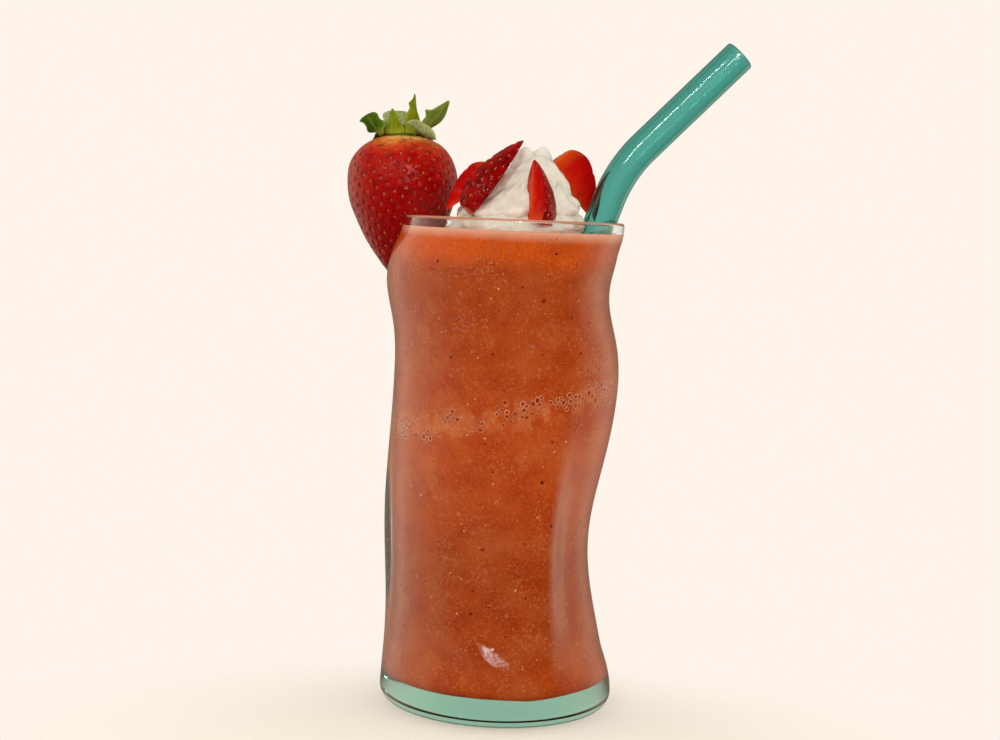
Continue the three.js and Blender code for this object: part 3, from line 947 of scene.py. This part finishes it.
def bubble_shapes():
    """Each bubble's rim, pale as painted light, and the dark heart of each larger one, painted shade in its
    hollow.
    """
    rng = np.random.default_rng(BUBBLE.seed)
    angle, z, size = bubble_places(rng)
    origins, axes = wall_places(angle, z)
    count = len(angle)
    stretch = size[:, None] * rng.uniform(*BUBBLE.stretch, (count, 2))
    painted_light_rims, painted_shade_hearts = Shape(), Shape()
    rim_scale = np.column_stack((stretch, np.full(count, BUBBLE.rim_rise)))
    rim = loop(*BUBBLE.rim_sides, BUBBLE.rim)
    painted_light_rims.add_copies(rim, origins, axes, rim_scale, tint=rng.uniform(0, 1, count))
    big = size > BUBBLE.hollow_from
    heart_scale = np.column_stack((BUBBLE.heart * stretch, np.full(count, BUBBLE.heart_rise)))[big]
    painted_shade_hearts.add_copies(ball(), origins[big], axes[big], heart_scale, tint=rng.uniform(0, 1, big.sum()))
    place, turn = wall_places(np.radians([BIG_BUBBLE.angle]), np.array([BIG_BUBBLE.height]))
    painted_shade_hearts.add_copies(ball(3), place, turn, np.array([BIG_BUBBLE.size]), tint=np.ones(1))
    return painted_light_rims, painted_shade_hearts


def grain_shape(kind):
    rng = np.random.default_rng(kind.seed)
    angle = rng.uniform(-math.pi, math.pi, kind.count)
    origins, axes = wall_places(angle, rng.uniform(*GRAIN.heights, kind.count))
    spin = rng.uniform(0, TURN, kind.count)
    around = np.cos(spin)[:, None] * axes[:, 0] + np.sin(spin)[:, None] * axes[:, 1]
    outward = axes[:, 2]
    spun = np.stack((around, np.cross(outward, around), outward), axis=1)
    low, high = kind.radii
    size = low + (high - low) * rng.uniform(0, 1, kind.count) ** GRAIN.crowding
    breadth = size * rng.uniform(*GRAIN.breadth, kind.count)
    scales = np.column_stack((size, breadth, np.full(kind.count, GRAIN.thickness)))
    shape = Shape()
    shape.add_copies(ball(), origins, spun, scales, tint=rng.uniform(0, 1, kind.count))
    return shape


# Materials


class Look:
    """A material or world in the making: its node tree, and short ways to add nodes to it."""

    def __init__(self, owner, **values):
        """Values are for sockets of a material's own shader, with _ for the spaces in their names."""
        owner.use_nodes = True
        self.owner = owner
        self.tree = owner.node_tree
        self.shader = self.tree.nodes.get("Principled BSDF")
        for key, value in values.items():
            self.shader.inputs[key.replace("_", " ")].default_value = value

    def add(self, kind, inputs=None, **settings):
        """Outputs of a new node, its inputs set to values or linked to other nodes' outputs."""
        made = self.tree.nodes.new("ShaderNode" + kind)
        for name, value in settings.items():
            setattr(made, name, value)
        for key, value in (inputs or {}).items():
            if isinstance(value, bpy.types.NodeSocket):
                self.tree.links.new(value, made.inputs[key])
            else:
                made.inputs[key].default_value = value
        return made.outputs

    def place(self):
        return self.add("TexCoord")["Object"]

    def height(self):
        return self.add("SeparateXYZ", {"Vector": self.place()})["Z"]

    def value(self, name):
        """A value that the mesh holds at its points."""
        return self.add("Attribute", attribute_name=name)["Fac"]

    def noise(self, size, detail=3.0, roughness=0.55):
        """Noise whose features are about the given size across, in millimetres."""
        inputs = {"Vector": self.place(), "Scale": 1 / (size * MM), "Detail": detail, "Roughness": roughness}
        return self.add("TexNoise", inputs)["Fac"]

    def spread(self, value, low, high, to_low=0.0, to_high=1.0, curve="SMOOTHSTEP"):
        """A value carried from one range to another."""
        inputs = {"Value": value, "From Min": low, "From Max": high, "To Min": to_low, "To Max": to_high}
        return self.add("MapRange", inputs, interpolation_type=curve)["Result"]

    def math(self, operation, *values):
        return self.add("Math", dict(enumerate(values)), operation=operation)[0]

    def times(self, first, second):
        return self.math("MULTIPLY", first, second)

    def vector(self, operation, *values):
        return self.add("VectorMath", dict(enumerate(values)), operation=operation)

    def blend(self, factor, first, second):
        """A number between two; sockets 2 and 3 of a Mix node take numbers."""
        return self.add("Mix", {0: factor, 2: first, 3: second}, data_type="FLOAT")[0]

    def mix(self, factor, first, second, kind="MIX"):
        """A colour between two, or their product; sockets 6 and 7 of a Mix node take colours."""
        return self.add("Mix", {0: factor, 6: first, 7: second}, data_type="RGBA", blend_type=kind)[2]

    def ramp(self, value, stops):
        made = self.add("ValToRGB", {"Fac": value})["Color"]
        elements = made.node.color_ramp.elements
        while len(elements) < len(stops):
            elements.new(1.0)
        for element, (position, color) in zip(elements, stops):
            element.position = position
            element.color = color
        return made

    def paint(self, color):
        self.tree.links.new(color, self.shader.inputs["Base Color"])

    def roughen(self, height, strength, distance):
        inputs = {"Height": height, "Strength": strength, "Distance": distance * MM}
        self.tree.links.new(self.add("Bump", inputs)["Normal"], self.shader.inputs["Normal"])

    def show(self, shader, where="Surface"):
        self.tree.links.new(shader, self.tree.nodes["Material Output"].inputs[where])

    def overlay(self, factor, shader):
        """Shows another shader instead of the material's own, as far as a factor says."""
        self.show(self.add("MixShader", {"Fac": factor, 1: self.shader.outputs[0], 2: shader})[0])


def new_look(name, **values):
    return Look(bpy.data.materials.new(name), **values)


def soft_look(name, weight, radius, scale, **values):
    """A look that lets light some way in, by a share, a reach for each colour and a scale."""
    values.update(Subsurface_Weight=weight, Subsurface_Radius=radius, Subsurface_Scale=scale * MM)
    return new_look(name, **values)


def glass_material(name, glass, grainy=False):
    """Clear glass with a tint that grows with its depth; light for what is behind passes straight."""
    look = new_look(
        name,
        Base_Color=gray(1),
        Roughness=0.0,
        IOR=1.5,
        Transmission_Weight=1.0,
        Coat_Weight=glass.coat,
        Coat_Roughness=COAT_ROUGHNESS,
    )
    path = look.add("LightPath")
    passing = look.math("MAXIMUM", path["Is Shadow Ray"], path["Is Diffuse Ray"])
    look.overlay(passing, look.add("BsdfTransparent")[0])
    if grainy:
        look.roughen(look.noise(0.8, 1), look.value("grainy"), 0.14)
    inside = look.add("VolumeAbsorption", {"Color": glass.color, "Density": glass.density})
    look.show(inside[0], "Volume")
    return look.owner


def drink_color(look):
    """Blended fruit: mottled coral with painted light and shade by height, a painted brighter orange layer
    under the pale line at the top, and pale rings of tiny bubbles that are painted light.
    """
    height = look.height()
    uneven = look.noise(6, 2, 0.5)

    def above(edge, *levels):
        wavy = look.math("MULTIPLY_ADD", uneven, edge.wave * MM, height)
        return look.spread(wavy, edge.low * MM, edge.high * MM, *levels)

    body = look.mix(look.spread(look.noise(8, 4, 0.6), 0.35, 0.65), DRINK.deep, DRINK.mid)
    body = look.mix(look.spread(look.noise(13), 0.45, 0.7, 0.0, 0.5), body, DRINK.pink)
    # Painted shade and light: darker low down and brightest a little above the middle, by height
    share = look.spread(height, 0.0, GLASS.height * MM, curve="LINEAR")
    shade = look.ramp(share, [(at, gray(tone / PAINTED_SHADE_LIMIT)) for at, tone in DRINK_PAINTED_SHADE])
    shade = look.mix(1.0, shade, gray(PAINTED_SHADE_LIMIT), "MULTIPLY")
    body = look.mix(1.0, body, shade, "MULTIPLY")
    # Painted light: a brighter orange band high on the drink, stronger in patches
    strength = look.spread(look.noise(16, 2, 0.5), 0.35, 0.6, 0.35, 1.0)
    body = look.mix(look.times(above(PAINTED_LIGHT_BAND), strength), body, DRINK.band)
    pulp = look.spread(look.noise(0.8, 2, 0.6), 0.5, 0.75, 0.0, 0.5)
    body = look.mix(pulp, body, DRINK.deep)
    line = look.vector("DOT_PRODUCT", look.place(), BAND.slope)["Value"]
    off = look.math("ABSOLUTE", look.math("SUBTRACT", line, BAND.level * MM))
    near = look.spread(off, 1.5 * MM, 6 * MM, 1.0, 0.0)
    near = look.times(near, look.spread(look.noise(5, 2, 0.5), 0.4, 0.55))
    body = look.mix(look.times(near, 0.35), body, DRINK.light)
    # Painted light: pale rims of tiny bubbles, in patches and near the line of coarse bubbles
    cells = look.add("TexVoronoi", {"Vector": look.place(), "Scale": 1 / (1.3 * MM)})["Distance"]
    ring = look.times(look.spread(cells, 0.16, 0.26), look.spread(cells, 0.26, 0.4, 1.0, 0.0))
    patch = look.spread(look.noise(7, 3, 0.6), 0.42, 0.64, 0.06, 0.42)
    patch = look.math("MAXIMUM", patch, look.times(near, 0.8))
    body = look.mix(look.times(ring, patch), body, DRINK.light)
    grain = look.spread(look.noise(0.45, 2, 0.6), 0.52, 0.8, 0.0, 0.55)
    body = look.mix(grain, body, DRINK.light)
    return look.mix(above(PALE_LINE, 0.0, 0.9), body, DRINK.foam)


def drink_material(name, roughness=0.5, shine=0.0):
    look = new_look(name, Roughness=roughness, Specular_IOR_Level=shine)
    look.paint(drink_color(look))
    return look


def drink_behind_glass(name):
    """The drink where glass covers it: a slanting look along the glass is mirrored by the drink."""
    look = drink_material(name)
    mirror = look.add("BsdfGlossy", {"Color": gray(1), "Roughness": 0.0})
    look.overlay(look.add("Fresnel", {"IOR": 0.9})[0], mirror[0])
    return look.owner


def drink_materials():
    """The drink's materials in the order of its slots."""
    top = drink_material("smoothie_top", 0.3, 0.5)
    top.roughen(top.noise(1.2), 0.5, 0.3)
    edge = drink_material("smoothie_edge")
    return drink_behind_glass("smoothie_side"), top.owner, drink_behind_glass("smoothie_under"), edge.owner


def tinted_material(name, roughness=0.5, shine=0.0):
    """A small thing's material, its colour between two shades from one to the next."""
    look = new_look(name, Roughness=roughness, Specular_IOR_Level=shine)
    color = look.mix(look.value("tint"), *SHADES[name])
    grain = look.spread(look.noise(0.4), 0.3, 0.7, 0.85, 1.1)
    look.paint(look.mix(1.0, color, grain, "MULTIPLY"))
    return look.owner


def cream_material():
    look = soft_look("whipped_cream", 0.35, (1.0, 0.8, 0.55), 3, Roughness=0.45)
    tone = look.spread(look.noise(5), 0.3, 0.7)
    look.paint(look.mix(tone, srgb(206, 196, 177), srgb(222, 213, 196)))
    look.roughen(look.noise(0.8, 4, 0.65), 0.5, 0.25)
    return look.owner


def berry_material():
    """Strawberry skin: deep red, warmer and then pale near the leaves, and darker towards the tip, which is
    painted shade.
    """
    look = soft_look("strawberry_skin", 0.1, (1.0, 0.25, 0.15), 2, Roughness=0.1, Specular_IOR_Level=0.25)
    top = BERRY.top[2]
    shifted = look.math("MULTIPLY_ADD", look.noise(9, 3, 0.5), 8 * MM, look.height())
    share = look.spread(shifted, (top - BERRY.length) * MM, (top + 4) * MM, curve="LINEAR")
    color = look.ramp(share, BERRY_SKIN_AND_SHADE)
    speckle = look.spread(look.noise(0.5, 2, 0.5), 0.5, 0.8, 0.0, 0.35)
    color = look.mix(speckle, color, srgb(176, 26, 10))
    blotch = look.spread(look.noise(2.6, 3, 0.6), 0.42, 0.7, 0.0, 0.6)
    look.paint(look.mix(blotch, color, srgb(96, 0, 2)))
    look.roughen(look.noise(0.9, 3, 0.6), 0.6, 0.3)
    return look.owner


def wedge_materials():
    """Skin and cut flesh of the wedges, in the order of their slots."""
    skin = soft_look("wedge_skin", 0.1, (1.0, 0.25, 0.15), 1.5, Roughness=0.08, Specular_IOR_Level=0.2)
    tone = skin.spread(skin.noise(3, 3, 0.5), 0.35, 0.65)
    skin.paint(skin.mix(tone, srgb(100, 2, 3), srgb(138, 5, 4)))
    skin.roughen(skin.noise(0.4, 2, 0.5), 0.4, 0.12)
    cut = soft_look("wedge_cut", 0.2, (1.0, 0.3, 0.15), 2.5, Roughness=0.2, Specular_IOR_Level=0.06)
    wander = cut.math("MULTIPLY_ADD", cut.noise(2.5, 3, 0.6), 0.5, cut.value("reach"))
    color = cut.ramp(cut.spread(wander, 0.2, 1.25, curve="LINEAR"), WEDGE_FLESH)
    unripe = cut.spread(cut.value("along"), 0.08, 0.3, 0.75, 0.0)
    cut.paint(cut.mix(unripe, color, srgb(206, 74, 16)))
    cut.roughen(cut.noise(0.6, 3, 0.6), 0.4, 0.15)
    return skin.owner, cut.owner


def leaf_material():
    look = soft_look("strawberry_leaf", 0.15, (0.6, 1.0, 0.2), 0.8, Roughness=0.4, Specular_IOR_Level=0.05)
    across = look.math("ABSOLUTE", look.value("across"))
    blotch = look.spread(look.noise(2.2, 3, 0.6), 0.3, 0.7)
    green = look.mix(blotch, srgb(100, 108, 2), srgb(122, 128, 4))
    deep = look.mix(blotch, srgb(42, 72, 2), srgb(70, 94, 6))
    color = look.mix(look.value("dark"), green, deep)
    root = look.spread(look.value("along"), 0.0, 0.4, 0.5, 0.0)
    color = look.mix(root, color, srgb(146, 148, 40))
    rib = look.spread(across, 0.0, 0.14, 0.3, 0.0)
    color = look.mix(rib, color, srgb(150, 156, 60))
    margin = look.spread(across, 0.75, 1.0, 0.0, 0.35)
    color = look.mix(margin, color, srgb(150, 158, 70))
    fuzz = look.times(look.value("pale"), look.spread(look.noise(0.5), 0.3, 0.6))
    look.paint(look.mix(fuzz, color, srgb(168, 174, 122)))
    look.roughen(look.noise(0.5, 3, 0.6), 0.5, 0.15)
    return look.owner


# Pieces


def cut_slit(piece):
    """Opens the strawberry where the glass's rim stands in it."""
    cutter = add_object("rim_cutter", glass_shape().mesh("rim_cutter"))
    modifier = piece.modifiers.new("slit", "BOOLEAN")
    modifier.object = cutter
    modifier.operation = "DIFFERENCE"
    modifier.solver = "MANIFOLD"
    graph = bpy.context.evaluated_depsgraph_get()
    opened = bpy.data.meshes.new_from_object(piece.evaluated_get(graph))
    piece.modifiers.clear()
    piece.data = opened
    bpy.data.objects.remove(cutter)


def build_pieces():
    clear = glass_material("clear_glass", CLEAR_GLASS, grainy=True)
    teal = glass_material("teal_glass", TEAL_GLASS)
    add_piece("tumbler", glass_shape(), [clear], "glass")
    add_piece("smoothie", drink_shape(), drink_materials(), "drink")
    add_piece("glass_straw", straw_shape(), [teal], "straw")
    add_piece("whipped_cream", cream_shape(), [cream_material()], "cream")
    seed_look = tinted_material("strawberry_seed", 0.35, 0.2)
    body, seeds = berry_shapes()
    berry = add_piece("whole_strawberry", body, [berry_material()], "rim_strawberry")
    cut_slit(berry)
    add_piece("whole_strawberry_seeds", seeds, [seed_look])
    add_piece("strawberry_leaves", calyx_shape(), [leaf_material()], "rim_strawberry_leaves")
    wedge_look = wedge_materials()
    wedge_seeds = Shape()
    for name, wedge in WEDGES.items():
        add_piece("cut_" + name, wedge_shape(wedge, wedge_seeds), wedge_look, name)
    add_piece("wedge_seeds", wedge_seeds, [seed_look])
    painted_light_rims, painted_shade_hearts = bubble_shapes()
    small = {"bubble_rim_painted_light": painted_light_rims, "bubble_heart_painted_shade": painted_shade_hearts}
    small.update({name: grain_shape(kind) for name, kind in GRAINS.items()})
    for name, shape in small.items():
        add_piece(name + "s", shape, [tinted_material(name)])


# Camera, light and floor


def add_camera():
    data = bpy.data.cameras.new("camera")
    data.lens = CAMERA.lens
    data.sensor_width = CAMERA.sensor
    camera = add_object("camera", data)
    tilt = Matrix.Rotation(math.radians(90 - CAMERA.pitch), 4, "X")
    roll = Matrix.Rotation(math.radians(CAMERA.roll), 4, "Z")
    camera.matrix_world = Matrix.Translation(Vector(CAMERA.place) * MM) @ tilt @ roll
    bpy.context.scene.camera = camera


def add_world():
    """Even backdrop for the camera, a soft dome of light, and what glossy and clear things show."""
    world = bpy.data.worlds.new("studio")
    bpy.context.scene.world = world
    look = Look(world)
    look.tree.nodes.clear()
    direction = look.add("TexCoord")["Generated"]
    x, y, z = look.add("SeparateXYZ", {"Vector": direction})
    dome = look.spread(z, *FADES.dome, "LINEAR")
    dome = look.math("MULTIPLY_ADD", look.times(x, x), DOME_SIDES, dome)
    between = look.times(look.spread(z, *FADES.ground), look.spread(z, *FADES.above))
    left, right = look.spread(y, *FADES.left), look.spread(y, *FADES.right)
    around = look.blend(look.spread(x, *FADES.left_to_right), left, right)
    mirrored = look.times(look.times(around, look.spread(y, *FADES.back)), between)
    straight = look.spread(look.math("ABSOLUTE", y), *FADES.straight)
    bounced = look.math("MAXIMUM", look.spread(y, *FADES.bounced_front), look.spread(y, *FADES.bounced_back))
    path = look.add("LightPath")
    clear = look.blend(path["Glossy Depth"], straight, bounced)
    lit, color = dome, gray(1)
    for kind, level, tint in (
        ("Glossy", mirrored, MIRRORED_COLOR),
        ("Transmission", clear, BACKGROUND),
        ("Camera", 1.0, BACKGROUND),
    ):
        seen = path[f"Is {kind} Ray"]
        lit = look.blend(seen, lit, level)
        color = look.mix(seen, color, tint)
    sky = look.add("Background", {"Color": color, "Strength": lit})
    look.add("OutputWorld", {"Surface": sky[0]}, is_active_output=True)


def add_light(name, lamp):
    data = bpy.data.lights.new(name, "AREA")
    data.shape = "RECTANGLE"
    data.size, data.size_y = (side * MM for side in lamp.size)
    data.energy = lamp.power
    data.color = LAMP_COLOR
    light = add_object(name, data)
    light.location = Vector(lamp.place) * MM
    light.rotation_euler = (Vector(LAMP_TARGET) - Vector(lamp.place)).to_track_quat("-Z", "Y").to_euler()


def add_floor():
    """Pale floor that melts into the backdrop away from the glass; a little darker than the backdrop, it is
    a painted shadow centred in front of the glass and longer front to back, and the real shadows fall on it
    as well.
    """
    shape = Shape()
    shape.add_pole((0, 0, FLOOR.level), polar(FLOOR.radius, turns(FLOOR.sides), FLOOR.level), True)
    floor = add_object("floor", shape.mesh("floor"))
    pale = [shade * level for shade, level in zip(FLOOR.shade, BACKGROUND)]
    look = new_look("floor", Base_Color=(*pale, 1), Roughness=0.9, Specular_IOR_Level=0.0)
    # Painted shadow: the darker floor shows most round a middle in front of the glass and fades out farther
    # away
    near = look.vector("ADD", look.place(), Vector(FLOOR.shift) * MM)["Vector"]
    near = look.vector("MULTIPLY", near, FLOOR.stretch)["Vector"]
    distance = look.vector("LENGTH", near)["Value"]
    low, high = FLOOR.fade
    painted_shadow_share = look.spread(distance, low * MM, high * MM, 1.0, 0.0)
    look.tree.links.new(painted_shadow_share, look.shader.inputs["Alpha"])
    floor.data.materials.append(look.owner)
    floor.visible_glossy = False
    floor.visible_transmission = False


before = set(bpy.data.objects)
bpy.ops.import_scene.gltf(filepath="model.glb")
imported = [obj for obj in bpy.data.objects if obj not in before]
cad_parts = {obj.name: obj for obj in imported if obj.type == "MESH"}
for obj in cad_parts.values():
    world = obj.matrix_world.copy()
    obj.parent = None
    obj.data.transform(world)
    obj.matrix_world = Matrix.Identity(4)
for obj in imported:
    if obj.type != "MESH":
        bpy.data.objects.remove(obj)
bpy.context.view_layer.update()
bpy.context.scene.view_settings.view_transform = "Standard"
build_pieces()
add_camera()
add_world()
for lamp_name, lamp in LAMPS.items():
    add_light(lamp_name, lamp)
add_floor()
